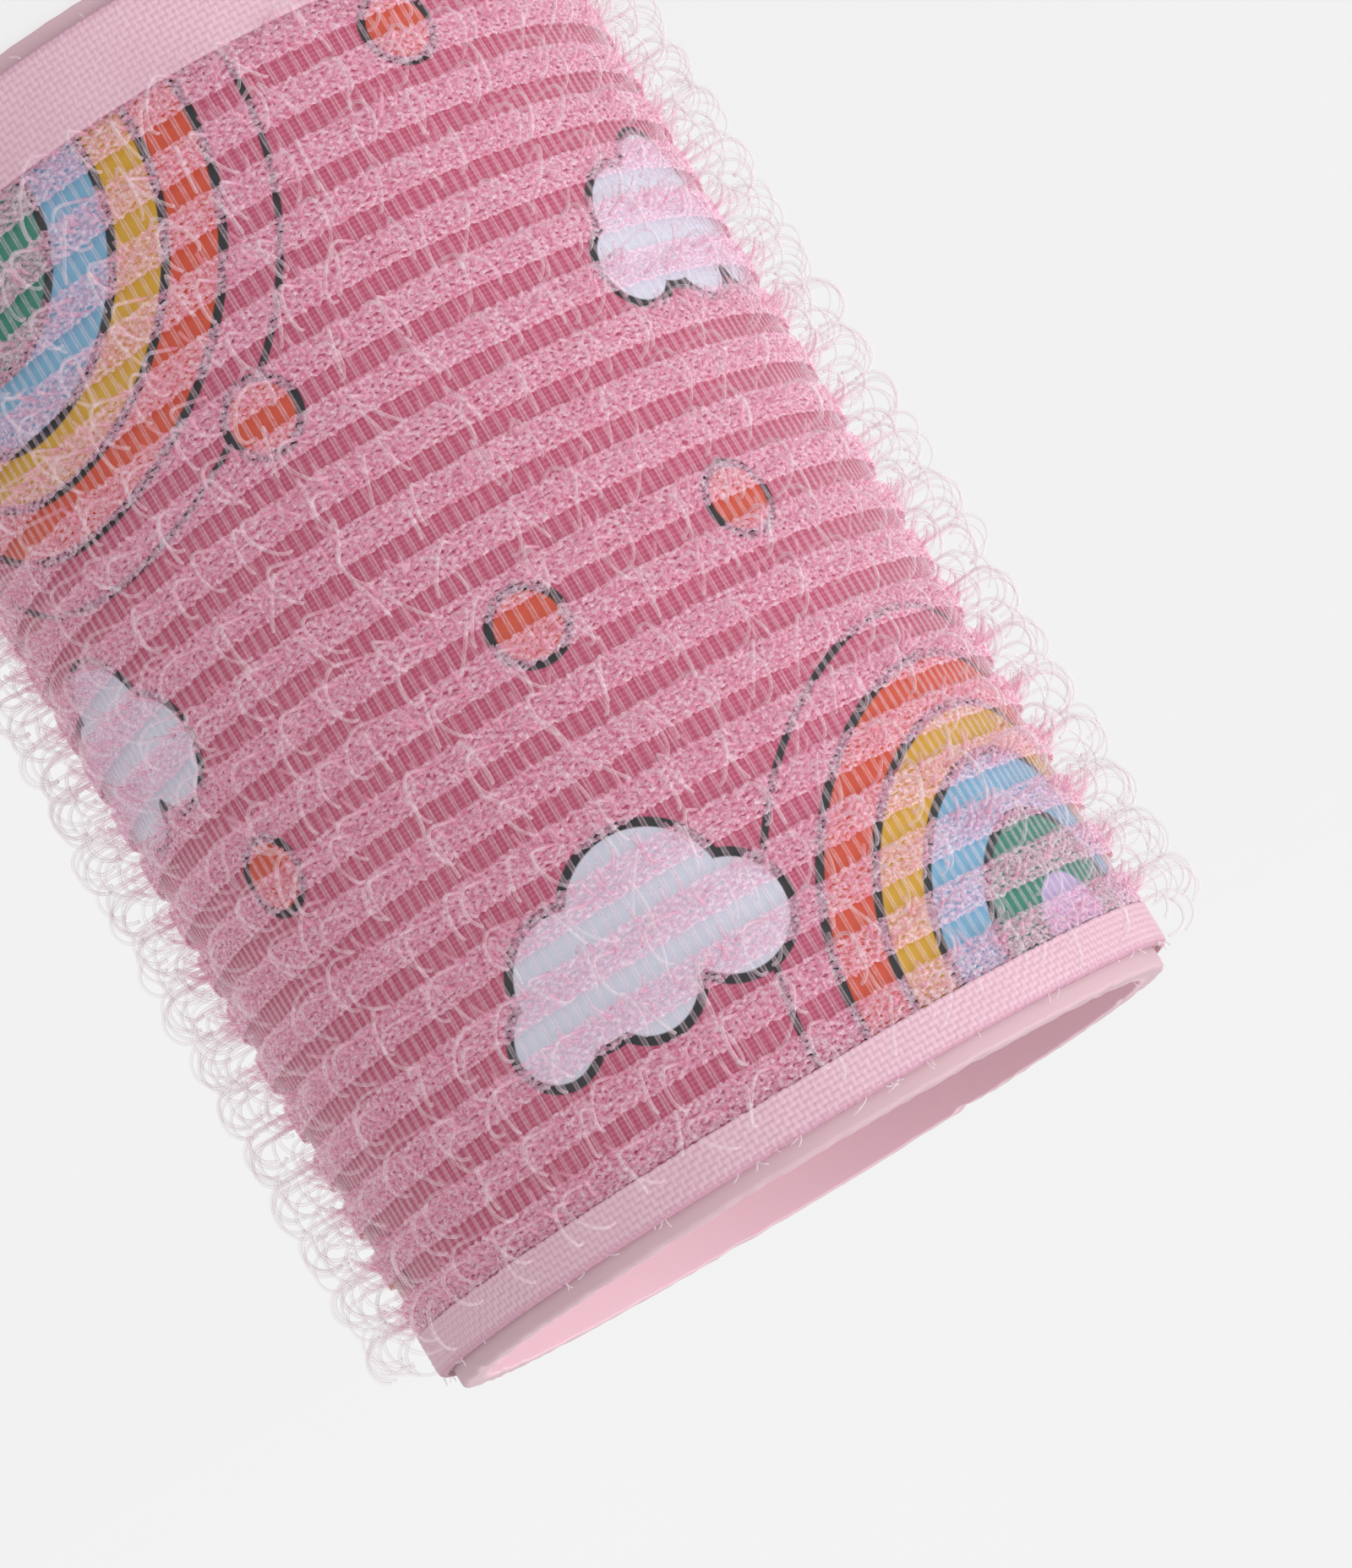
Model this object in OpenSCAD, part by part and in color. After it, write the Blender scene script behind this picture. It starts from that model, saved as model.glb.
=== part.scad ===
// Self-grip hair roller: a moulded core tube, a wrap of printed film, and a woven nylon
// hook tape glued round it. The tape is one weave of four kinds of thread: long axial
// weft filaments, plain selvedges at its two edges, soft warp bands, and stiff hook wires.
// The roller stands on one end with its axis along +Z.

/* [Core tube] */
// Outer diameter of the moulded core
core_d = 40.6; // [30:0.2:60]
// Wall of the core
core_wall = 1.5; // [1.2:0.1:3]
// How far the core stands out of the tape at each end
core_lip = 1.0; // [0.6:0.1:3]
// Radius of the rounded rims of the core
rim_r = 0.25; // [0.2:0.05:0.55]

/* [Printed film] */
// Thickness of the printed film
film_t = 0.14; // [0.08:0.01:0.3]
// Gap left where the two ends of the film meet
film_seam_w = 0.3; // [0.1:0.05:1]
// Angle of the film's seam round the core
film_seam_a = 70; // [0:1:359]

/* [Hook tape] */
// Width of the tape, along the roller
tape_w = 63; // [40:1:90]
// Width of the plain selvedge at the top edge
selvedge_top_w = 2.3; // [1.5:0.1:6]
// Width of the plain selvedge at the bottom edge
selvedge_bottom_w = 4.7; // [1.5:0.1:8]
// Thickness of the woven selvedges and warp bands
weave_t = 0.38; // [0.25:0.01:0.8]
// Gap left where the two ends of the tape meet
tape_seam_w = 0.4; // [0.2:0.05:1]
// Angle of the tape's seam round the core
tape_seam_a = 90; // [0:1:359]
// Thickness of the two lines of glue under the selvedges
glue_t = 0.08; // [0.05:0.01:0.2]

/* [Threads] */
// Number of axial weft filaments round the roller
weft_count = 200; // [120:20:260]
// Diameter of a weft filament
weft_d = 0.22; // [0.12:0.01:0.35]
// Width of one soft warp band, along the roller
band_w = 1.7; // [1:0.1:2.2]

/* [Hooks] */
// Height of the hooks above the weave
hook_h = 2.8; // [1.8:0.1:4.5]
// Diameter of the hook wire
wire_d = 0.2; // [0.12:0.01:0.3]
// Number of hooks in one row
hooks_per_row = 80; // [48:4:96]
// Free space between the loops of neighbouring rows
loop_gap = 0.26; // [0.1:0.02:0.6]
// How far a hook's wire turns back past its top
tip_turn = 50; // [0:5:80]
// Free space between two neighbouring loops where they lean together
lean_gap = 0.2; // [0.1:0.05:0.6]
// Share of the lean that the left-leaning hooks take
lean_share = 0.6; // [0.5:0.05:0.7]

/* [Hidden] */
ROWS = 20;
// Clearance that keeps two round faces from touching
fit = 0.02;
overcut = 1;
wire_r = wire_d / 2;
weft_r = weft_d / 2;

// Facets in a full turn: of the tube and its wraps, of a bend or rim, and of a thread
ring_fn = 180;
bend_fn = 48;
thread_fn = 24;

// Radii, from the core outwards
core_r = core_d / 2;
bore_r = core_r - core_wall;
film_r = core_r + fit;
glue_r = film_r + film_t + fit;
weft_ring_r = glue_r + glue_t + fit + weft_r;
weave_r = weft_ring_r + weft_r + fit;
weave_top_r = weave_r + weave_t;
tip_r = weave_top_r + hook_h;

// Heights, from the end that the roller stands on
core_l = tape_w + 2 * core_lip;
tape_z = core_lip;
tape_top_z = tape_z + tape_w;
glue_margin = 0.3;
film_margin = 0.2;

// The warp bands share the width between the selvedges, and the first is at the top
band_field = tape_w - selvedge_top_w - selvedge_bottom_w - 2 * fit;
pitch = (band_field - band_w) / (ROWS - 1);
first_band_z = tape_top_z - selvedge_top_w - fit - band_w / 2;

// A hook's leg stands near the lower edge of its band, and its loop leans over the upper one
loop_r = (pitch - loop_gap) / 2 - wire_r;
loop_centre_r = tip_r - wire_r - loop_r;
leg_z = -(band_w / 2 - wire_r - fit);

// Neighbouring hooks lean towards each other, as far as the room between two legs lets them
hook_step = 2 * PI * loop_centre_r / hooks_per_row;
lean_room = hook_step - wire_d - lean_gap;
lean_right = -asin(lean_room * (1 - lean_share) / (2 * loop_r));
lean_left = asin(lean_room * lean_share / (2 * loop_r));

function two(n) = n < 10 ? str("0", n) : str(n);
function band_z(n) = first_band_z - (n - 1) * pitch;

BANDS = [for (n = [1 : ROWS]) str("warp_band_", two(n))];
HOOKS = [for (n = [1 : ROWS]) str("hook_row_", two(n))];

// A closed ring from z up, between two radii
module ring(inner_r, outer_r, z, height) {
    translate([0, 0, z])
        difference() {
            cylinder(r = outer_r, h = height, $fn = ring_fn);
            translate([0, 0, -overcut])
                cylinder(r = inner_r, h = height + 2 * overcut, $fn = ring_fn);
        }
}

// A strip wrapped once round the core, with a straight gap where its ends meet
module wrap(inner_r, thickness, z, height, seam_w, seam_a) {
    difference() {
        ring(inner_r, inner_r + thickness, z, height);
        rotate([0, 0, seam_a])
            translate([inner_r - overcut, -seam_w / 2, z - overcut])
                cube([thickness + 2 * overcut, seam_w, height + 2 * overcut]);
    }
}

// Half of the core's wall section: a strip with two rounded corners at each end
module core_section() {
    translate([bore_r, rim_r])
        square([core_wall, core_l - 2 * rim_r]);
    translate([bore_r + rim_r, 0])
        square([core_wall - 2 * rim_r, core_l]);
    for (x = [bore_r + rim_r, core_r - rim_r])
        for (y = [rim_r, core_l - rim_r])
            translate([x, y])
                circle(r = rim_r, $fn = bend_fn);
}

module core_tube() {
    color("pink")
        rotate_extrude($fn = ring_fn)
            core_section();
}

module printed_film() {
    color("palevioletred")
        wrap(film_r, film_t, tape_z + film_margin, tape_w - 2 * film_margin,
             film_seam_w, film_seam_a);
}

module glue_line_top() {
    height = selvedge_top_w - 2 * glue_margin;
    color("ivory")
        wrap(glue_r, glue_t, tape_top_z - selvedge_top_w + glue_margin, height,
             tape_seam_w, tape_seam_a);
}

module glue_line_bottom() {
    height = selvedge_bottom_w - 2 * glue_margin;
    color("ivory")
        wrap(glue_r, glue_t, tape_z + glue_margin, height, tape_seam_w, tape_seam_a);
}

// The filaments run the whole width of the tape, and the seam lies between two of them
module weft_filaments() {
    color("white", 0.6)
        for (i = [0 : weft_count - 1])
            rotate([0, 0, tape_seam_a + (i + 0.5) * 360 / weft_count])
                translate([weft_ring_r, 0, tape_z])
                    cylinder(r = weft_r, h = tape_w, $fn = thread_fn);
}

module selvedge_top() {
    color("lightpink")
        wrap(weave_r, weave_t, tape_top_z - selvedge_top_w, selvedge_top_w,
             tape_seam_w, tape_seam_a);
}

module selvedge_bottom() {
    color("lightpink")
        wrap(weave_r, weave_t, tape_z, selvedge_bottom_w, tape_seam_w, tape_seam_a);
}

module warp_band(n) {
    color("lightpink", 0.8)
        wrap(weave_r, weave_t, band_z(n) - band_w / 2, band_w, tape_seam_w, tape_seam_a);
}

// One hook, with its leg on the X axis: the leg stands out of the band, and the wire
// then turns over towards +Z and back down
module hook() {
    leg_start = weave_top_r + fit;
    translate([leg_start, 0, 0])
        rotate([0, 90, 0])
            cylinder(r = wire_r, h = loop_centre_r - leg_start, $fn = thread_fn);
    translate([loop_centre_r, 0, loop_r])
        rotate([90, 0, 0])
            rotate([0, 0, -90])
                rotate_extrude(angle = 180 + tip_turn, $fn = bend_fn)
                    translate([loop_r, 0])
                        circle(r = wire_r, $fn = thread_fn);
}

// Every other hook leans the other way, and no hook stands on the tape's seam
module hook_row(n) {
    color("white", 0.7)
        for (i = [0 : hooks_per_row - 1])
            rotate([0, 0, tape_seam_a + (i + 0.5) * 360 / hooks_per_row])
                translate([0, 0, band_z(n) + leg_z])
                    rotate([i % 2 == 0 ? lean_right : lean_left, 0, 0])
                        hook();
}

core_tube();
printed_film();
glue_line_top();
glue_line_bottom();
weft_filaments();
selvedge_top();
selvedge_bottom();
for (n = [1 : ROWS]) {
    warp_band(n);
    hook_row(n);
}
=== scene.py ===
import math

import bpy
import numpy as np
from mathutils import Matrix, Vector


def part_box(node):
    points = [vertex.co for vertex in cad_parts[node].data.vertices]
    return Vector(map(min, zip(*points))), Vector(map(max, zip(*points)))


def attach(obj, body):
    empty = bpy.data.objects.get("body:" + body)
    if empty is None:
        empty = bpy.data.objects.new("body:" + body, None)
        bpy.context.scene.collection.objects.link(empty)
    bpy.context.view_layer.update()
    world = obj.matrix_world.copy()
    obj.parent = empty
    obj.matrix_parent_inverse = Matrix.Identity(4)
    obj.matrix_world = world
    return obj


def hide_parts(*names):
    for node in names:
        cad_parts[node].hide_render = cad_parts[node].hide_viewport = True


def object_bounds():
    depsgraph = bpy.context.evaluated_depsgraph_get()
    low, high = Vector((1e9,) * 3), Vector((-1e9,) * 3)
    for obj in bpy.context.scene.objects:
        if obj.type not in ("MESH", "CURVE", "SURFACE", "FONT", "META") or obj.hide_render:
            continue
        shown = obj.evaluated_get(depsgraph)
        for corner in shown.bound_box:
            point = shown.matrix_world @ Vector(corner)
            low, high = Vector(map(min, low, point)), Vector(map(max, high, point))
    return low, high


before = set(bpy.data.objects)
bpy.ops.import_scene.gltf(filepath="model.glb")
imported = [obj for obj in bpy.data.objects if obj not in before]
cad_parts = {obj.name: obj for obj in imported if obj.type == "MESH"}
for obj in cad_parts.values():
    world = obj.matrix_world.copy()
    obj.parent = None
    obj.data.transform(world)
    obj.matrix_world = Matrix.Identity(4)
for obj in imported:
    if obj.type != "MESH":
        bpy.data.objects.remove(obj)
cad_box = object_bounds()

# ---------------------------------------------------------------------------------------------
# Core tube. A moulded tube of pale pink polyethylene that the tape is glued round, with its two
# ends cut square and left a little ragged by the saw. It is turned here as one closed skin.
# ---------------------------------------------------------------------------------------------
MM = 0.001
core_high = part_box("core_tube")[1]
CORE_R = core_high.x
CORE_TOP = core_high.z
CORE_WALL = 1.5 * MM
CORE_ROUND = 0.25 * MM  # rounding of the outer edge at each end
CORE_INNER_ROUND = 0.12 * MM
BORE_EDGE = 19.3  # millimetres from the axis; what lies nearer than this is the bore
SAW_REACH = 0.35 * MM  # how far in from a cut end the saw has left its marks
SAW_MARK = 0.05 * MM
NICKS = 9  # small chips in the edge of each end
CORE_PINK = (0.62, 0.41, 0.465)
CORE_PINK_PALE = (0.66, 0.45, 0.50)
# painted glow: the bore is painted a paler pink than the outside, standing for light let through the
# translucent wall
BORE_PAINTED_GLOW_PINK = (0.80, 0.53, 0.60)


class Finish:
    """A node's socket in a material, which Python's own signs add Math nodes to."""

    def __init__(self, sheet, socket=None):
        self.sheet = sheet
        self.socket = socket

    def node(self, kind, settings=None, sockets=None, out=0):
        made = self.sheet.nodes.new(kind)
        for key, value in (settings or {}).items():
            setattr(made, key, value)
        for key, value in (sockets or {}).items():
            target = made.inputs[key]
            if isinstance(value, Finish):
                self.sheet.links.new(value.socket, target)
            elif isinstance(value, tuple) and len(value) == 3 and target.type == "RGBA":
                target.default_value = (*value, 1)
            else:
                target.default_value = value
        return Finish(self.sheet, made.outputs[out]) if made.outputs else None

    def math(self, operation, *values, clamp=False):
        settings = {"operation": operation, "use_clamp": clamp}
        return self.node("ShaderNodeMath", settings, dict(enumerate(values)))

    def __add__(self, other):
        return self.math("ADD", self, other)

    __radd__ = __add__

    def __sub__(self, other):
        return self.math("SUBTRACT", self, other)

    def __rsub__(self, other):
        return self.math("SUBTRACT", other, self)

    def __mul__(self, other):
        return self.math("MULTIPLY", self, other)

    __rmul__ = __mul__

    def __pow__(self, other):
        return self.math("POWER", self, other)

    def __abs__(self):
        return self.math("ABSOLUTE", self)

    def clamped(self):
        return self.math("ADD", self, 0, clamp=True)

    def tint(self, mask, under, over):
        """The colour under, covered by the colour over where mask is 1."""
        sockets = {0: mask, 6: under, 7: over}
        return self.node("ShaderNodeMix", {"data_type": "RGBA"}, sockets, out=2)

    def noise(self, scale, detail=2.0, rough=0.5):
        """Noise of that many waves to the metre, about 0.5."""
        place = self.node("ShaderNodeTexCoord", out=3)
        sockets = {"Vector": place, "Scale": scale, "Detail": detail, "Roughness": rough}
        return self.node("ShaderNodeTexNoise", {}, sockets)

    def from_axis(self):
        """The distance from the roller's axis, in millimetres."""
        place = self.node("ShaderNodeTexCoord", out=3)
        x, y = (self.node("ShaderNodeSeparateXYZ", {}, {"Vector": place}, out=i) for i in range(2))
        return self.math("SQRT", x * x + y * y) * (1 / MM)

    def bump(self, height, distance, strength=1.0):
        sockets = {"Height": height, "Distance": distance, "Strength": strength}
        return self.node("ShaderNodeBump", {}, sockets)


def new_finish(name):
    """An empty material and the sheet that its nodes are made on."""
    material = bpy.data.materials.new(name)
    material.use_nodes = True
    material.node_tree.nodes.clear()
    return material, Finish(material.node_tree)


def surface(finish, **sockets):
    """Closes a sheet with one Principled shader."""
    named = {key.replace("_", " "): value for key, value in sockets.items()}
    shader = finish.node("ShaderNodeBsdfPrincipled", {}, named)
    finish.node("ShaderNodeOutputMaterial", {}, {"Surface": shader})


def core_plastic():
    material, f = new_finish("core_plastic")
    # The bore's inside is painted paler pink as light glowing through the wall.
    painted_glow_in_bore = ((BORE_EDGE - f.from_axis()) * 3).clamped()
    cloud = f.noise(90, 3)
    scuffs = f.noise(900, 4, 0.7)
    outside = f.tint(cloud, CORE_PINK, CORE_PINK_PALE)
    surface(
        f,
        Base_Color=f.tint(painted_glow_in_bore, outside, BORE_PAINTED_GLOW_PINK),
        Roughness=0.45 + scuffs * 0.2,
        Normal=f.bump(scuffs, 0.02 * MM, 0.5),
        IOR=1.5,
        Coat_Weight=0.05,
        Coat_Roughness=0.2,
    )
    return material


def make_piece(name, points, faces, material, slot, *nodes):
    """A mesh of four-sided faces that rides on the roller and stands for CAD nodes."""
    mesh = bpy.data.meshes.new(name)
    mesh.vertices.add(len(points))
    mesh.vertices.foreach_set("co", points.astype(np.float32).ravel())
    mesh.loops.add(faces.size)
    mesh.loops.foreach_set("vertex_index", faces.astype(np.int32).ravel())
    mesh.polygons.add(len(faces))
    mesh.polygons.foreach_set("loop_start", np.arange(0, faces.size, 4, dtype=np.int32))
    mesh.polygons.foreach_set("use_smooth", np.ones(len(faces), bool))
    mesh.update(calc_edges=True)
    mesh.materials.append(material)
    made = bpy.data.objects.new(name, mesh)
    bpy.context.scene.collection.objects.link(made)
    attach(made, "root")
    if nodes:
        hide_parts(*nodes)
    return made


def grid_faces(rows, columns, wrap_rows, wrap_columns):
    """Faces between the points of a grid, which may close on itself either way."""
    r = np.arange(rows if wrap_rows else rows - 1)[:, None]
    c = np.arange(columns if wrap_columns else columns - 1)[None, :]
    r2, c2 = (r + 1) % rows, (c + 1) % columns
    corners = [r * columns + c, r * columns + c2, r2 * columns + c2, r2 * columns + c]
    return np.stack([np.broadcast_to(x, (r.size, c.size)) for x in corners], -1).reshape(-1, 4)


def ripple(angle, draw, waves, size):
    """A smooth seeded wobble round the roller, made of that many waves."""
    total = np.zeros_like(angle)
    for wave in range(1, waves + 1):
        total += np.sin(wave * angle + draw.uniform(0, math.tau)) * draw.normal()
    return total * size / math.sqrt(waves)


def core_outline():
    """Half of the tube's section as (radius, height), from the bore's foot round to it again."""
    bore = CORE_R - CORE_WALL
    half = []
    for t in np.linspace(0, math.pi / 2, 5):
        half.append((bore + CORE_INNER_ROUND * (1 - math.cos(t)), CORE_INNER_ROUND * (1 - math.sin(t))))
    for t in np.linspace(0, math.pi / 2, 9):
        half.append((CORE_R - CORE_ROUND * (1 - math.sin(t)), CORE_ROUND * (1 - math.cos(t))))
    rise = [(CORE_R, CORE_TOP * share) for share in (0.1, 0.5, 0.9)]
    drop = [(bore, CORE_TOP * share) for share in (0.9, 0.5, 0.1)]
    return np.array(half + rise + [(r, CORE_TOP - z) for r, z in reversed(half)] + drop)


def build_core():
    columns = 720
    draw = np.random.default_rng(11)
    angle = np.linspace(0, math.tau, columns, endpoint=False)
    outline = core_outline()
    radius = np.repeat(outline[:, :1], columns, 1)
    height = np.repeat(outline[:, 1:], columns, 1)
    for end, inward in ((0.0, 1.0), (CORE_TOP, -1.0)):
        near = np.exp(-np.abs(outline[:, 1:] - end) / SAW_REACH)
        saw = np.abs(ripple(angle, draw, 60, SAW_MARK))
        for _ in range(NICKS):
            place, width = draw.uniform(0, math.tau), draw.uniform(0.01, 0.03)
            nick = np.exp(-(np.angle(np.exp(1j * (angle - place))) / width) ** 4)
            saw = saw + nick * draw.uniform(0.05, 0.22) * MM
        height = height + inward * near * saw
    radius = radius + ripple(angle, draw, 5, 0.02 * MM)
    points = np.stack([radius * np.cos(angle), radius * np.sin(angle), height], -1)
    faces = grid_faces(len(outline), columns, True, True)
    material = core_plastic()
    make_piece("core_shell", points.reshape(-1, 3), faces, material, "core_plastic", "core_tube")


build_core()

# ---------------------------------------------------------------------------------------------
# Printed film. A thin glossy plastic film wrapped once round the core, its ends nearly meeting
# in a seam, and printed with generic rainbows, clouds and round spots on a fine pink dot screen.
# ---------------------------------------------------------------------------------------------
FILM_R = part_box("printed_film")[1].x / MM  # millimetres, as all lengths of the print are
REPEAT = math.pi * FILM_R  # the print comes round twice
RAINBOWS = ((-57.7, 61.6), (40.5, 6.5))  # degrees round from the front, millimetres up
RAINBOW_BANDS = ((15.1, (0.62, 0.075, 0.03)), (12.3, (0.62, 0.35, 0.02)), (9.6, (0.19, 0.42, 0.60)),
                 (6.2, (0.02, 0.22, 0.15)), (2.8, (0.50, 0.40, 0.66)))
ECHO_R = 17.8  # a thin line drawn outside each rainbow
ECHO_LINE = 0.19  # half its width
CLOUDS = ((4.7, 52.6), (-63.5, 21.7), (67.0, 30.8))
CLOUD_PUFFS = ((-4.6, 0.9, 3.0), (-1.4, -1.3, 4.1), (3.0, -0.2, 3.5), (5.6, 1.6, 2.3), (0.4, 1.7, 2.6))
SPOTS = ((11.0, 21.9), (-41.5, 36.1), (46.2, 40.0), (-33.4, 8.2), (-5.0, 37.0))
SPOT_R = 1.9
OUTLINE = 0.24  # half the width of an outline
INK_EDGE = 12  # an ink fades out over one twelfth of a millimetre
FILM_PINK = (0.60, 0.14, 0.235)
FILM_PINK_DOT = (0.45, 0.07, 0.15)
CLOUD_WHITE = (0.66, 0.70, 0.80)
SPOT_RED = (0.62, 0.085, 0.04)
INK = (0.012, 0.012, 0.016)
DOT_PITCH = 0.17


def lowest(*values):
    first = values[0]
    for value in values[1:]:
        first = first.math("MINIMUM", first, value)
    return first


def printed_film():
    material, f = new_finish("printed_film_ink")
    place = f.node("ShaderNodeTexCoord", out=3)
    x, y, z = (f.node("ShaderNodeSeparateXYZ", {}, {"Vector": place}, out=i) for i in range(3))
    round_mm = f.math("ARCTAN2", x, y * -1) * FILM_R
    up_mm = z * (1 / MM)

    def offset(spot):
        across = round_mm - math.radians(spot[0]) * FILM_R
        return f.math("WRAP", across, REPEAT / 2, -REPEAT / 2), up_mm - spot[1]

    def distance(across, along):
        return f.math("SQRT", across * across + along * along)

    def inside(edge):
        return (edge * -INK_EDGE + 0.5).clamped()

    def line(edge, half=OUTLINE):
        return (half * INK_EDGE + 0.5 - abs(edge) * INK_EDGE).clamped()

    turn = math.pi / DOT_PITCH / math.sqrt(2)
    dots = f.math("SINE", (round_mm + up_mm) * turn) * f.math("SINE", (round_mm - up_mm) * turn)
    colour = f.tint((dots * 1.6 + 0.5).clamped(), FILM_PINK, FILM_PINK_DOT)
    bow = lowest(*(distance(*offset(spot)) for spot in RAINBOWS))
    for outer, ink in RAINBOW_BANDS:
        colour = f.tint(inside(bow - outer), colour, ink)
    edges = lowest(*(abs(bow - outer) for outer, _ in RAINBOW_BANDS[:4]))
    colour = f.tint(line(edges), colour, INK)
    colour = f.tint(line(bow - ECHO_R, ECHO_LINE), colour, INK)
    puffs = []
    for spot in CLOUDS:
        across, along = offset(spot)
        puffs += [distance(across - dx, along - dz) - r for dx, dz, r in CLOUD_PUFFS]
    cloud = lowest(*puffs)
    colour = f.tint(inside(cloud), colour, CLOUD_WHITE)
    colour = f.tint(line(cloud), colour, INK)
    spots = lowest(*(distance(*offset(spot)) for spot in SPOTS)) - SPOT_R
    colour = f.tint(inside(spots), colour, SPOT_RED)
    colour = f.tint(line(spots), colour, INK)
    surface(f, Base_Color=colour, Roughness=0.38 + f.noise(400, 2) * 0.1, IOR=1.5, Coat_Weight=0.3,
            Coat_Roughness=0.25)
    return material


def refinish(node, material):
    """Puts a finish on a CAD node that keeps its own shape."""
    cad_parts[node].data.materials.clear()
    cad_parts[node].data.materials.append(material)


refinish("printed_film", printed_film())

# ---------------------------------------------------------------------------------------------
# Glue lines. Two beads of clear hot glue under the tape's edges hold it to the film. They were
# rolled flat as the tape was wound on, and are yellowish and slightly lumpy.
# ---------------------------------------------------------------------------------------------


def glue():
    material, f = new_finish("hot_glue")
    lumps = f.noise(700, 3)
    surface(f, Base_Color=f.tint(lumps, (0.70, 0.55, 0.42), (0.82, 0.70, 0.60)),
            Roughness=0.25 + lumps * 0.2, Normal=f.bump(lumps, 0.05 * MM))
    return material


glue_finish = glue()
for glue_line in ("glue_line_top", "glue_line_bottom"):
    refinish(glue_line, glue_finish)

# ---------------------------------------------------------------------------------------------
# Weft filaments. Clear nylon monofilaments laid in pairs along the roller, which the bands are
# woven across. Each is a fine round wire, so it shows as a thin light line over the print.
# ---------------------------------------------------------------------------------------------
WEFTS = 200
WEFT_R = 0.055 * MM
WEFT_PLACE = 20.66 * MM  # from the roller's axis
WEFT_APART = 1.3 * WEFT_R  # from the middle of a pair to each filament's own middle
WEFT_STRAY = 0.008 * MM
WEFT_COLOURS = ((0.88, 0.66, 0.75), (0.95, 0.80, 0.87))
TAPE_FACE = 20.95 * MM  # from the axis to the face that hooks and loose fibres stand on
PAINTED_PINK_TOP = 21.5  # millimetres from the axis; a foot colour, a painted pink reflection of the tape, fades out above this
PAINTED_PINK_FADE = 0.65
SEAM = math.pi / 2  # the tape's two ends meet at the back of the roller
tape_low, tape_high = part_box("weft_filaments")


def clear_nylon(name, colours, edge, middle, rough, patchy=1.0, foot=None):
    """Clear nylon: most of the light goes straight through, and less of it near the wire's edges.
    Fine flecks mix the two colours, the paler partly a painted glint, and a foot colour, a painted pink
    reflection of the tape, tints what lies close to the tape."""
    material, f = new_finish(name)
    facing = f.node("ShaderNodeLayerWeight", {}, {"Blend": 0.5}, out=1)
    behind = f.node("ShaderNodeNewGeometry", out=6)
    flecks_and_glints = f.noise(4000, 3, 0.6)
    solid = (middle + facing * facing * (edge - middle)) * (1 + (flecks_and_glints - 0.5) * patchy)
    # Where the flecks are thick the paler colour shows; this is partly the nylon's own tone and partly a
    # painted glint.
    colour = f.tint((flecks_and_glints * 4 - 1.5).clamped(), *colours)
    # The foot colour is a painted reflection: clear wire close to the tape is tinted the tape's pink.
    if foot:
        rise = ((f.from_axis() - PAINTED_PINK_TOP) * PAINTED_PINK_FADE).clamped()
        colour = f.tint(rise, foot, colour)
        solid = solid * (1.2 - rise * 0.2)
    surface(f, Base_Color=colour, Roughness=rough, IOR=1.53, Normal=f.bump(flecks_and_glints, 0.02 * MM, 0.4),
            Alpha=(solid * (1 - behind)).clamped())
    return material


def unit(vectors):
    return vectors / np.linalg.norm(vectors, axis=-1, keepdims=True)


def sweep(paths, wide, high, sides, beside):
    """Tubes with closed ends along many paths. paths is (tube, ring, 3) and beside is a vector
    that each tube's width lies along; wide and high are half its width and height."""
    tubes, rings = paths.shape[:2]
    along = unit(np.gradient(paths, axis=1))
    out = unit(np.cross(along, np.broadcast_to(beside, paths.shape)))
    flat = np.cross(out, along)
    turn = np.arange(sides) * math.tau / sides
    wide = np.broadcast_to(np.asarray(wide), (tubes, rings))[..., None, None]
    high = np.broadcast_to(np.asarray(high), (tubes, rings))[..., None, None]
    skin = (paths[:, :, None] + flat[:, :, None] * np.cos(turn)[:, None] * wide
            + out[:, :, None] * np.sin(turn)[:, None] * high)
    tube = grid_faces(rings, sides, False, True)
    cap = np.array([(0, k, k + 1, k + 2) for k in range(1, sides - 2, 2)])
    last = (rings - 1) * sides + cap
    one = np.concatenate([tube, cap[:, ::-1], last])
    faces = (np.arange(tubes)[:, None, None] * rings * sides + one[None]).reshape(-1, 4)
    return skin.reshape(-1, 3), faces


def round_points(radius, angle, height):
    """Points given by their distance from the roller's axis, angle round it and height."""
    radius, angle, height = np.broadcast_arrays(radius, angle, height)
    return np.stack([radius * np.cos(angle), radius * np.sin(angle), height], -1)


def build_wefts():
    draw = np.random.default_rng(23)
    rings = 40
    pair = SEAM + (np.arange(WEFTS) + 0.5) * math.tau / WEFTS
    apart = WEFT_APART / WEFT_PLACE
    angle = (pair[:, None] + np.array([-apart, apart])).reshape(-1, 1)
    height = np.linspace(tape_low.z, tape_high.z, rings)[None, :]
    knots = draw.normal(size=(2 * WEFTS, rings)) * WEFT_STRAY
    sway = (knots + np.roll(knots, 1, 1) + np.roll(knots, 2, 1)) / 2
    lift = np.abs(draw.normal(size=(2 * WEFTS, rings))) * WEFT_STRAY
    paths = round_points(WEFT_PLACE + lift, angle + sway / WEFT_PLACE, height)
    tangent = np.stack([-np.sin(angle), np.cos(angle), 0 * angle], -1)
    points, faces = sweep(paths, WEFT_R, WEFT_R, 6, tangent)
    material = clear_nylon("weft_nylon", WEFT_COLOURS, 0.66, 0.24, 0.2)
    make_piece("weft_filament_pairs", points, faces, material, "clear_nylon", "weft_filaments")


build_wefts()

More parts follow.
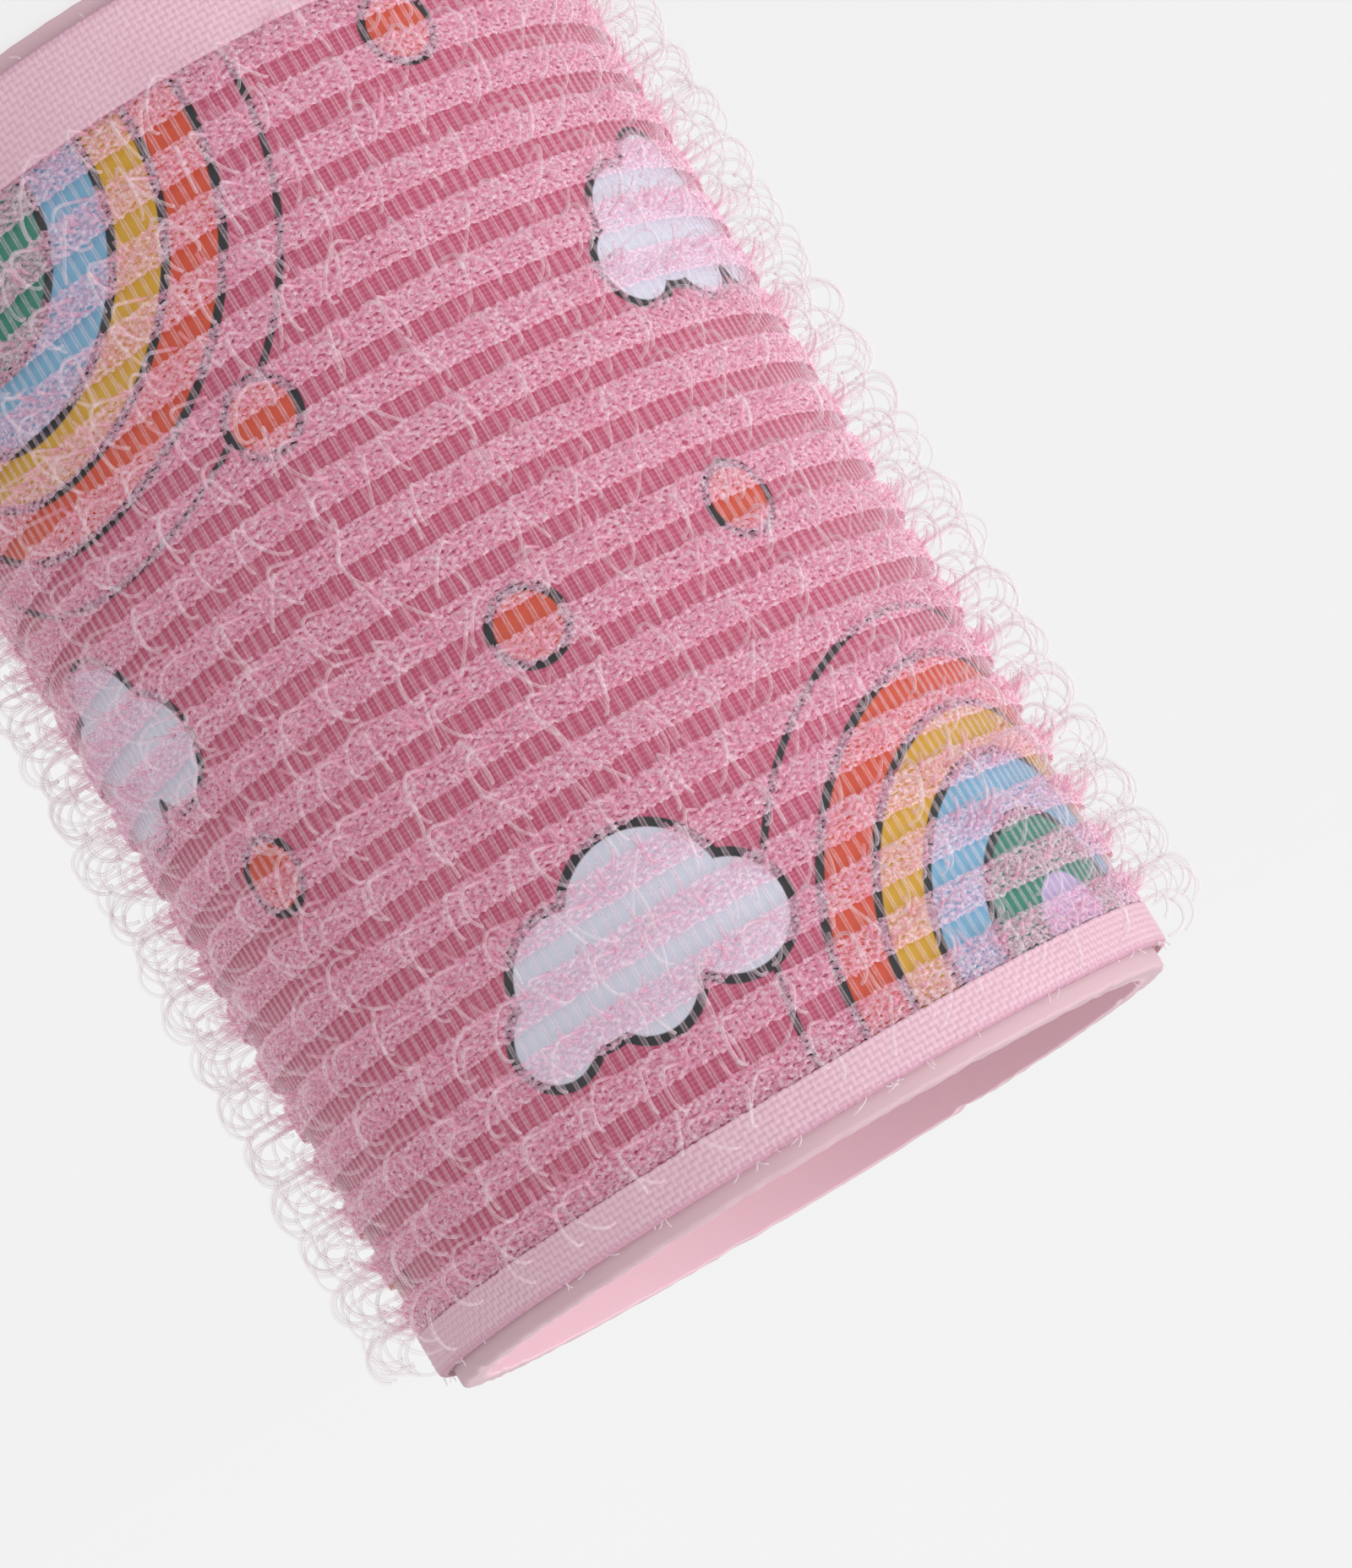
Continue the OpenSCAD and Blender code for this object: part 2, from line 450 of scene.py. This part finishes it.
# ---------------------------------------------------------------------------------------------
# Selvedges. The two plain edges of the tape, a tight plain weave of pale pink nylon yarn with
# the ends cut at the back seam. The weave stands up as real over and under bumps.
# ---------------------------------------------------------------------------------------------
YARN_PITCH = 0.33 * MM
WEAVE_PLACE = 20.99 * MM  # from the axis to the middle of the weave's bumps
WEAVE_RELIEF = 0.08 * MM
WEAVE_UNDER = 20.62 * MM  # from the axis to the weave's underside
WEAVE_TUCK = 0.25 * MM  # how far the outer edge is pulled down
HOLLOW_SHADE_TOP = 20.97  # millimetres from the axis; the yarns' crowns are paler above this, and the hollows below it are painted a deeper pink as shade
HOLLOW_SHADE_FADE = 12
SEAM_GAP = 0.2 * MM  # from the seam's middle to each cut end
FRAYED = 70  # loose fibre ends along each edge
FRAY_R = 0.04 * MM
FRAY_COLOURS = ((0.95, 0.82, 0.88), (1.0, 0.94, 0.97))
SELVEDGE_PINK = (0.74, 0.47, 0.56)
SELVEDGE_PINK_PALE = (0.82, 0.57, 0.65)
# painted shade: the deeper pink that fills the hollows of the weave
SELVEDGE_HOLLOW_SHADE_PINK = (0.57, 0.28, 0.38)


def woven_nylon():
    material, f = new_finish("selvedge_weave")
    crowns_above_painted_shade = ((f.from_axis() - HOLLOW_SHADE_TOP) * HOLLOW_SHADE_FADE).clamped()
    fibres = f.noise(6000, 2)
    patch = f.noise(250, 3)
    body = f.tint(patch, SELVEDGE_PINK, SELVEDGE_PINK_PALE)
    # The hollows between the yarns' crowns are painted a deeper pink as shade.
    surface(f, Base_Color=f.tint(crowns_above_painted_shade * 0.8 + fibres * 0.2, SELVEDGE_HOLLOW_SHADE_PINK, body),
            Roughness=0.35 + fibres * 0.25, Normal=f.bump(fibres, 0.03 * MM, 0.6), IOR=1.53)
    return material


def weave_height(across, up):
    """How far a plain weave stands out at a place given in yarns, from about -1 to 1."""
    i, j = np.floor(across), np.floor(up)
    u, v = across - i - 0.5, up - j - 0.5
    over = np.where((i + j) % 2 == 0, 1.0, -1.0)
    warp = over * np.cos(math.pi * u) * 0.75 + np.sqrt(np.clip(1 - 3.4 * v * v, 0, 1)) * 0.4 - 0.2
    weft = -over * np.cos(math.pi * v) * 0.75 + np.sqrt(np.clip(1 - 3.4 * u * u, 0, 1)) * 0.4 - 0.2
    return np.maximum(warp, weft)


def build_selvedge(name, node, material, seed):
    draw = np.random.default_rng(seed)
    low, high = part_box(node)
    columns = 1600
    yarns = round((high.z - low.z) / YARN_PITCH)
    rows = 4 * yarns + 1
    start = SEAM + SEAM_GAP / high.x
    angle = np.linspace(start, start + math.tau - 2 * SEAM_GAP / high.x, columns)[None, :]
    share = np.linspace(0, 1, rows)[:, None]
    up = low.z + (high.z - low.z) * share
    fray = ripple(angle, draw, 40, 0.03 * MM) + ripple(angle, draw, 400, 0.03 * MM)
    from_low = share * (high.z - low.z) / YARN_PITCH
    from_high = (1 - share) * (high.z - low.z) / YARN_PITCH
    edge = np.exp(-from_low) - np.exp(-from_high)
    wobble = ripple(angle, draw, 12, 0.15)
    stand = weave_height((angle - SEAM) / math.tau * 2 * WEFTS, share * yarns + wobble * 0.3)
    stand = stand * (0.8 + 0.4 * draw.random((rows, columns)))
    from_edge = from_high if name.endswith("top") else from_low
    radius = WEAVE_PLACE + WEAVE_RELIEF * stand - WEAVE_TUCK * np.exp(-from_edge * 3)
    outer = round_points(radius, angle, up + edge * np.abs(fray))
    inner = round_points(WEAVE_UNDER, angle, np.array([[low.z], [high.z]]))
    points = np.concatenate([outer, inner[::-1]])
    faces = grid_faces(rows + 2, columns, True, False)
    make_piece(name, points.reshape(-1, 3), faces, material, "woven_nylon", node)


def build_fray(name, edge, outward, seed):
    """Loose fibre ends that stand a little out of the tape's edge."""
    draw = np.random.default_rng(seed)
    angle = draw.uniform(0, math.tau, FRAYED)[:, None]
    reach = draw.uniform(0.1, 0.45, FRAYED)[:, None] * MM
    drift = draw.normal(size=FRAYED)[:, None] * 0.4 * MM
    rise = draw.uniform(-0.15, 0.3, FRAYED)[:, None] * MM
    share = np.linspace(0, 1, 6)[None, :]
    radius = TAPE_FACE + rise * share
    height = edge + outward * (share * 1.2 - 0.2) * reach
    paths = round_points(radius, angle + drift * share ** 2 / radius, height)
    beside = np.stack([-np.sin(angle), np.cos(angle), 0 * angle], -1)
    points, faces = sweep(paths, FRAY_R, FRAY_R, 4, beside)
    make_piece(name, points, faces, fray_finish, "clear_nylon")


weave_finish = woven_nylon()
fray_finish = clear_nylon("frayed_nylon", FRAY_COLOURS, 0.7, 0.4, 0.25)
build_fray("frayed_fibres_top", tape_high.z, 1, 33)
build_fray("frayed_fibres_bottom", tape_low.z, -1, 34)
build_selvedge("selvedge_weave_top", "selvedge_top", weave_finish, 31)
build_selvedge("selvedge_weave_bottom", "selvedge_bottom", weave_finish, 32)

# ---------------------------------------------------------------------------------------------
# Warp bands. Twenty narrow bands of clear nylon yarn woven over and under the filaments round
# the roller, with bare gaps between. The print shows palely through their tangle of yarns.
# ---------------------------------------------------------------------------------------------
ROWS = 20
BAND_YARNS = 8
BAND_PLACE = 20.98 * MM  # from the axis to the middle of the yarns
BAND_RINGS = 1500
BAND_DIP = 0.05 * MM  # how far a yarn goes over and under the filaments
YARN_HALF_WIDTH = 0.075 * MM  # and up to about 0.04 mm more, by chance
YARN_HALF_HEIGHT = 0.035 * MM
BAND_COLOURS = ((0.96, 0.38, 0.59), (1.0, 0.80, 0.91))


def build_band(number, material):
    draw = np.random.default_rng(100 + number)
    node = f"warp_band_{number:02d}"
    low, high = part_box(node)
    middle, width = (low.z + high.z) / 2, high.z - low.z
    start = SEAM + SEAM_GAP / BAND_PLACE
    angle = np.linspace(start, start + math.tau - 2 * SEAM_GAP / BAND_PLACE, BAND_RINGS)
    paths, wide = [], []
    for yarn in range(BAND_YARNS):
        step = (yarn + 0.5) / BAND_YARNS - 0.5
        under = np.cos((angle - SEAM) * WEFTS + yarn * math.pi)
        stray = ripple(angle, draw, 300, 0.05 * MM) + draw.normal(size=BAND_RINGS) * 0.02 * MM
        lift = ripple(angle, draw, 300, 0.02 * MM) + draw.normal(size=BAND_RINGS) * 0.01 * MM
        height = middle + step * width + stray
        paths.append(round_points(BAND_PLACE + under * BAND_DIP + lift, angle, height))
        wide.append(YARN_HALF_WIDTH + np.abs(draw.normal(size=BAND_RINGS)) * 0.04 * MM)
    upright = np.array([0.0, 0.0, 1.0])
    points, faces = sweep(np.array(paths), np.array(wide), YARN_HALF_HEIGHT, 4, upright)
    made = make_piece(f"band_yarns_{number:02d}", points, faces, material, "woven_nylon", node)
    made.data.shade_flat()


band_finish = clear_nylon("band_yarn_nylon", BAND_COLOURS, 0.58, 0.40, 0.2, patchy=1.4)
for number in range(1, ROWS + 1):
    build_band(number, band_finish)

# ---------------------------------------------------------------------------------------------
# Hook rows. In each band runs a stiff clear monofilament that comes up as 80 open hooks, which
# lean to one side and the other by turns. Short cut ends of wire stand among them.
# ---------------------------------------------------------------------------------------------
HOOKS = 80
STUBS = 2 * HOOKS
WIRE_R = 0.095 * MM
HOOK_LOOP = 1.12 * MM
HOOK_TOP = cad_box[1].x
HOOK_PROUD = 0.15 * MM  # how far past it a usual hook stands
LEG = 0.73 * MM  # from the band's middle down to the lowest of the hooks' legs
LEG_STEP = 0.42 * MM  # each pair of legs stands this much higher than the last, three pairs by turns
LEANS = (-13.35, 20.26)  # degrees
STUB_TURN = 1.1  # how far a stub curls over, in radians
HOOK_COLOURS = ((0.82, 0.68, 0.74), (0.92, 0.80, 0.86))
# painted reflection: the pink that the wires take on near the tape
HOOK_FOOT_PAINTED_PINK = (0.89, 0.43, 0.58)


def curve_through(knots, rings):
    """A smooth line through a few knots for many wires at once: knots is (wire, knot, 3)."""
    count = knots.shape[1]
    first = 2 * knots[:, :1] - knots[:, 1:2]
    last = 2 * knots[:, -1:] - knots[:, -2:-1]
    k = np.concatenate([first, knots, last], 1)
    t = np.linspace(0, count - 1 - 1e-6, rings)
    i = t.astype(int)
    u = (t - i)[None, :, None]
    p0, p1, p2, p3 = (k[:, i + n] for n in range(4))
    return 0.5 * (2 * p1 + (p2 - p0) * u + (2 * p0 - 5 * p1 + 4 * p2 - p3) * u * u
                  + (3 * p1 - p0 - 3 * p2 + p3) * u ** 3)


def hook_wires(draw, middle):
    """The skins of one row's hooks: each rises from its leg and turns over in a loop."""
    count = np.arange(HOOKS)
    base = SEAM + (count + 0.5) * math.tau / HOOKS
    side = np.where(count % 2 == 0, LEANS[0], LEANS[1])

    def spread(size):
        return draw.normal(size=HOOKS)[:, None].clip(-2, 2) * size

    lean = np.radians(side[:, None] + spread(10))
    twist = np.tan(np.radians(spread(17)))
    loop = HOOK_LOOP * (1 + spread(0.09))
    arc = np.radians(185 + spread(16))
    foot = -LEG + (count[:, None] // 2 % 3) * LEG_STEP + spread(0.2 * MM)
    rise = HOOK_TOP - WIRE_R + HOOK_PROUD - loop - TAPE_FACE + spread(0.15 * MM)
    t = np.linspace(0, 1, 17)[None, :]
    up = np.concatenate([0 * rise, rise * 0.35, rise * 0.7, rise + loop * np.sin(arc * t)], 1)
    along = np.concatenate([foot, foot, foot, foot + loop - loop * np.cos(arc * t)], 1)
    swing = up * np.sin(lean) + twist * (along - foot)
    radius = TAPE_FACE + up * np.cos(lean)
    paths = curve_through(round_points(radius, base[:, None] + swing / radius, middle + along), 30)
    beside = np.stack([-np.sin(base), np.cos(base), 0 * base], -1)[:, None, :]
    return sweep(paths, WIRE_R, WIRE_R, 6, beside + np.array([0.0, 0.0, 0.15]))


def cut_stubs(draw, middle):
    """The skins of one row's short cut ends, which stand anywhere round the band."""
    base = draw.uniform(0, math.tau, STUBS)[:, None]
    lean = np.tan(np.radians(draw.normal(size=STUBS) * 20))[:, None]
    reach = draw.uniform(0.45, 1.35, STUBS)[:, None] * MM
    curl = np.linspace(0, 1, 8)[None, :] * STUB_TURN
    up = reach * np.sin(curl)
    along = draw.uniform(-0.75, 0.6, STUBS)[:, None] * MM - reach * (1 - np.cos(curl)) * 1.2
    radius = TAPE_FACE + up
    paths = round_points(radius, base + up * lean / radius, middle + along)
    beside = np.stack([-np.sin(base), np.cos(base), 0 * base], -1)
    return sweep(paths, WIRE_R, WIRE_R, 6, beside)


def build_hooks(number, material):
    draw = np.random.default_rng(300 + number)
    low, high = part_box(f"warp_band_{number:02d}")
    middle = (low.z + high.z) / 2
    points, faces = hook_wires(draw, middle)
    more, more_faces = cut_stubs(draw, middle)
    faces = np.concatenate([faces, more_faces + len(points)])
    points = np.concatenate([points, more])
    name = f"hook_loops_{number:02d}"
    make_piece(name, points, faces, material, "hook_nylon", f"hook_row_{number:02d}")


hook_finish = clear_nylon("hook_wire_nylon", HOOK_COLOURS, 0.80, 0.21, 0.12, patchy=0.3, foot=HOOK_FOOT_PAINTED_PINK)
for number in range(1, ROWS + 1):
    build_hooks(number, hook_finish)

# ---------------------------------------------------------------------------------------------
# Studio. A pale seamless floor and wall, an even soft light from all round, a broad soft key
# light from the roller's left and above, and a small weak fill light from its right.
# ---------------------------------------------------------------------------------------------
PALE = 0.893
SWEEP_R = 1.6
SWEEP_TOP = 3.0
SWEEP_BEND = 0.6  # radius of the bend between the floor and the wall
ROOM_LIGHT = 0.66  # from all round
KEY_FROM = Vector((-0.80, -0.35, 0.50)).normalized()
KEY_SPREAD = 0.6
KEY_PANEL = 2.8
FILL_FROM = Vector((0.80, -0.55, -0.15)).normalized()
FILL_PANEL = 0.8


def pale_paper(name, glow):
    material, f = new_finish(name)
    grain = f.noise(60, 2)
    camera_ray = f.node("ShaderNodeLightPath", out=0)
    glowing = f.node("ShaderNodeEmission", {}, {"Color": (1.0, 1.0, 1.0), "Strength": PALE})
    paper = f.node("ShaderNodeBsdfPrincipled", {}, {
        "Base Color": f.tint(grain, (0.80, 0.80, 0.80), (0.82, 0.82, 0.82)), "Roughness": 0.9})
    shown = f.node("ShaderNodeMixShader", {}, {0: glow, 1: paper, 2: glowing})
    mixed = f.node("ShaderNodeMixShader", {}, {0: camera_ray, 1: paper, 2: shown})
    f.node("ShaderNodeOutputMaterial", {}, {"Surface": mixed})
    return material


def build_studio():
    angle = np.linspace(0, math.tau, 96, endpoint=False)
    flat = SWEEP_R - SWEEP_BEND
    outline = [(0.0005, 0.0), (0.1, 0.0), (flat, 0.0)]
    for t in np.linspace(0, math.pi / 2, 13)[1:]:
        outline.append((flat + SWEEP_BEND * math.sin(t), SWEEP_BEND - SWEEP_BEND * math.cos(t)))
    outline.append((SWEEP_R, SWEEP_TOP))
    outline = np.array(outline)
    points = np.stack([outline[:, :1] * np.cos(angle), outline[:, :1] * np.sin(angle),
                       outline[:, 1:] + 0 * angle], -1).reshape(-1, 3)
    faces = grid_faces(len(outline), len(angle), False, True)
    mesh = bpy.data.meshes.new("studio_sweep")
    mesh.from_pydata(points.tolist(), [], faces.tolist())
    mesh.materials.append(pale_paper("pale_paper", 0.85))
    made = bpy.data.objects.new("studio_sweep", mesh)
    bpy.context.scene.collection.objects.link(made)
    made.visible_diffuse = False
    made.visible_glossy = False
    made.visible_transmission = False
    made.visible_shadow = False
    world = bpy.data.worlds.new("studio_light")
    bpy.context.scene.world = world
    world.use_nodes = True
    world.node_tree.nodes.clear()
    w = Finish(world.node_tree)
    way = w.node("ShaderNodeTexCoord", out=0)
    toward = w.node("ShaderNodeVectorMath", {"operation": "DOT_PRODUCT"}, {0: way, 1: tuple(KEY_FROM)}, out=1)
    fill = w.node("ShaderNodeVectorMath", {"operation": "DOT_PRODUCT"}, {0: way, 1: tuple(FILL_FROM)}, out=1)
    lobe = (toward * 0.5 + 0.5).clamped() ** 3
    key_panel = ((toward - 0.92) * 25).clamped()
    fill_panel = ((fill - 0.94) * 25).clamped()
    strength = ROOM_LIGHT + lobe * KEY_SPREAD + key_panel * KEY_PANEL + fill_panel * FILL_PANEL
    light = w.node("ShaderNodeBackground", {}, {"Color": (1.0, 1.0, 1.0), "Strength": strength})
    w.node("ShaderNodeOutputWorld", {}, {"Surface": light})


build_studio()

# ---------------------------------------------------------------------------------------------
# Camera. It stands a little higher than the roller and looks slightly down on it, turned over
# so that the open end points to the lower right.
# ---------------------------------------------------------------------------------------------
CAMERA_AWAY = 0.26775
CAMERA_UP = 0.07829
PITCH = -0.12594
YAW = 0.015594
ROLL = 2.59867
SENSOR_MM = 36
LENS_HEIGHTS = 3.425644  # focal length over the sensor's height


def build_camera():
    camera = bpy.data.cameras.new("camera")
    camera.sensor_fit = "VERTICAL"
    camera.sensor_height = camera.sensor_width = SENSOR_MM
    camera.lens = SENSOR_MM * LENS_HEIGHTS
    camera.clip_start, camera.clip_end = 0.01, 10
    ahead = Vector((-math.sin(YAW) * math.cos(PITCH), math.cos(YAW) * math.cos(PITCH), math.sin(PITCH)))
    level = Vector((math.cos(YAW), math.sin(YAW), 0))
    above = level.cross(ahead)
    right = math.cos(ROLL) * level + math.sin(ROLL) * above
    up = -math.sin(ROLL) * level + math.cos(ROLL) * above
    made = bpy.data.objects.new("camera", camera)
    made.matrix_world = Matrix.Translation((0, -CAMERA_AWAY, CAMERA_UP)) @ Matrix(
        (right, up, -ahead)).transposed().to_4x4()
    bpy.context.scene.collection.objects.link(made)
    bpy.context.scene.camera = made


build_camera()
bpy.context.scene.view_settings.view_transform = "Standard"
bpy.context.scene.cycles.transparent_max_bounces = 64
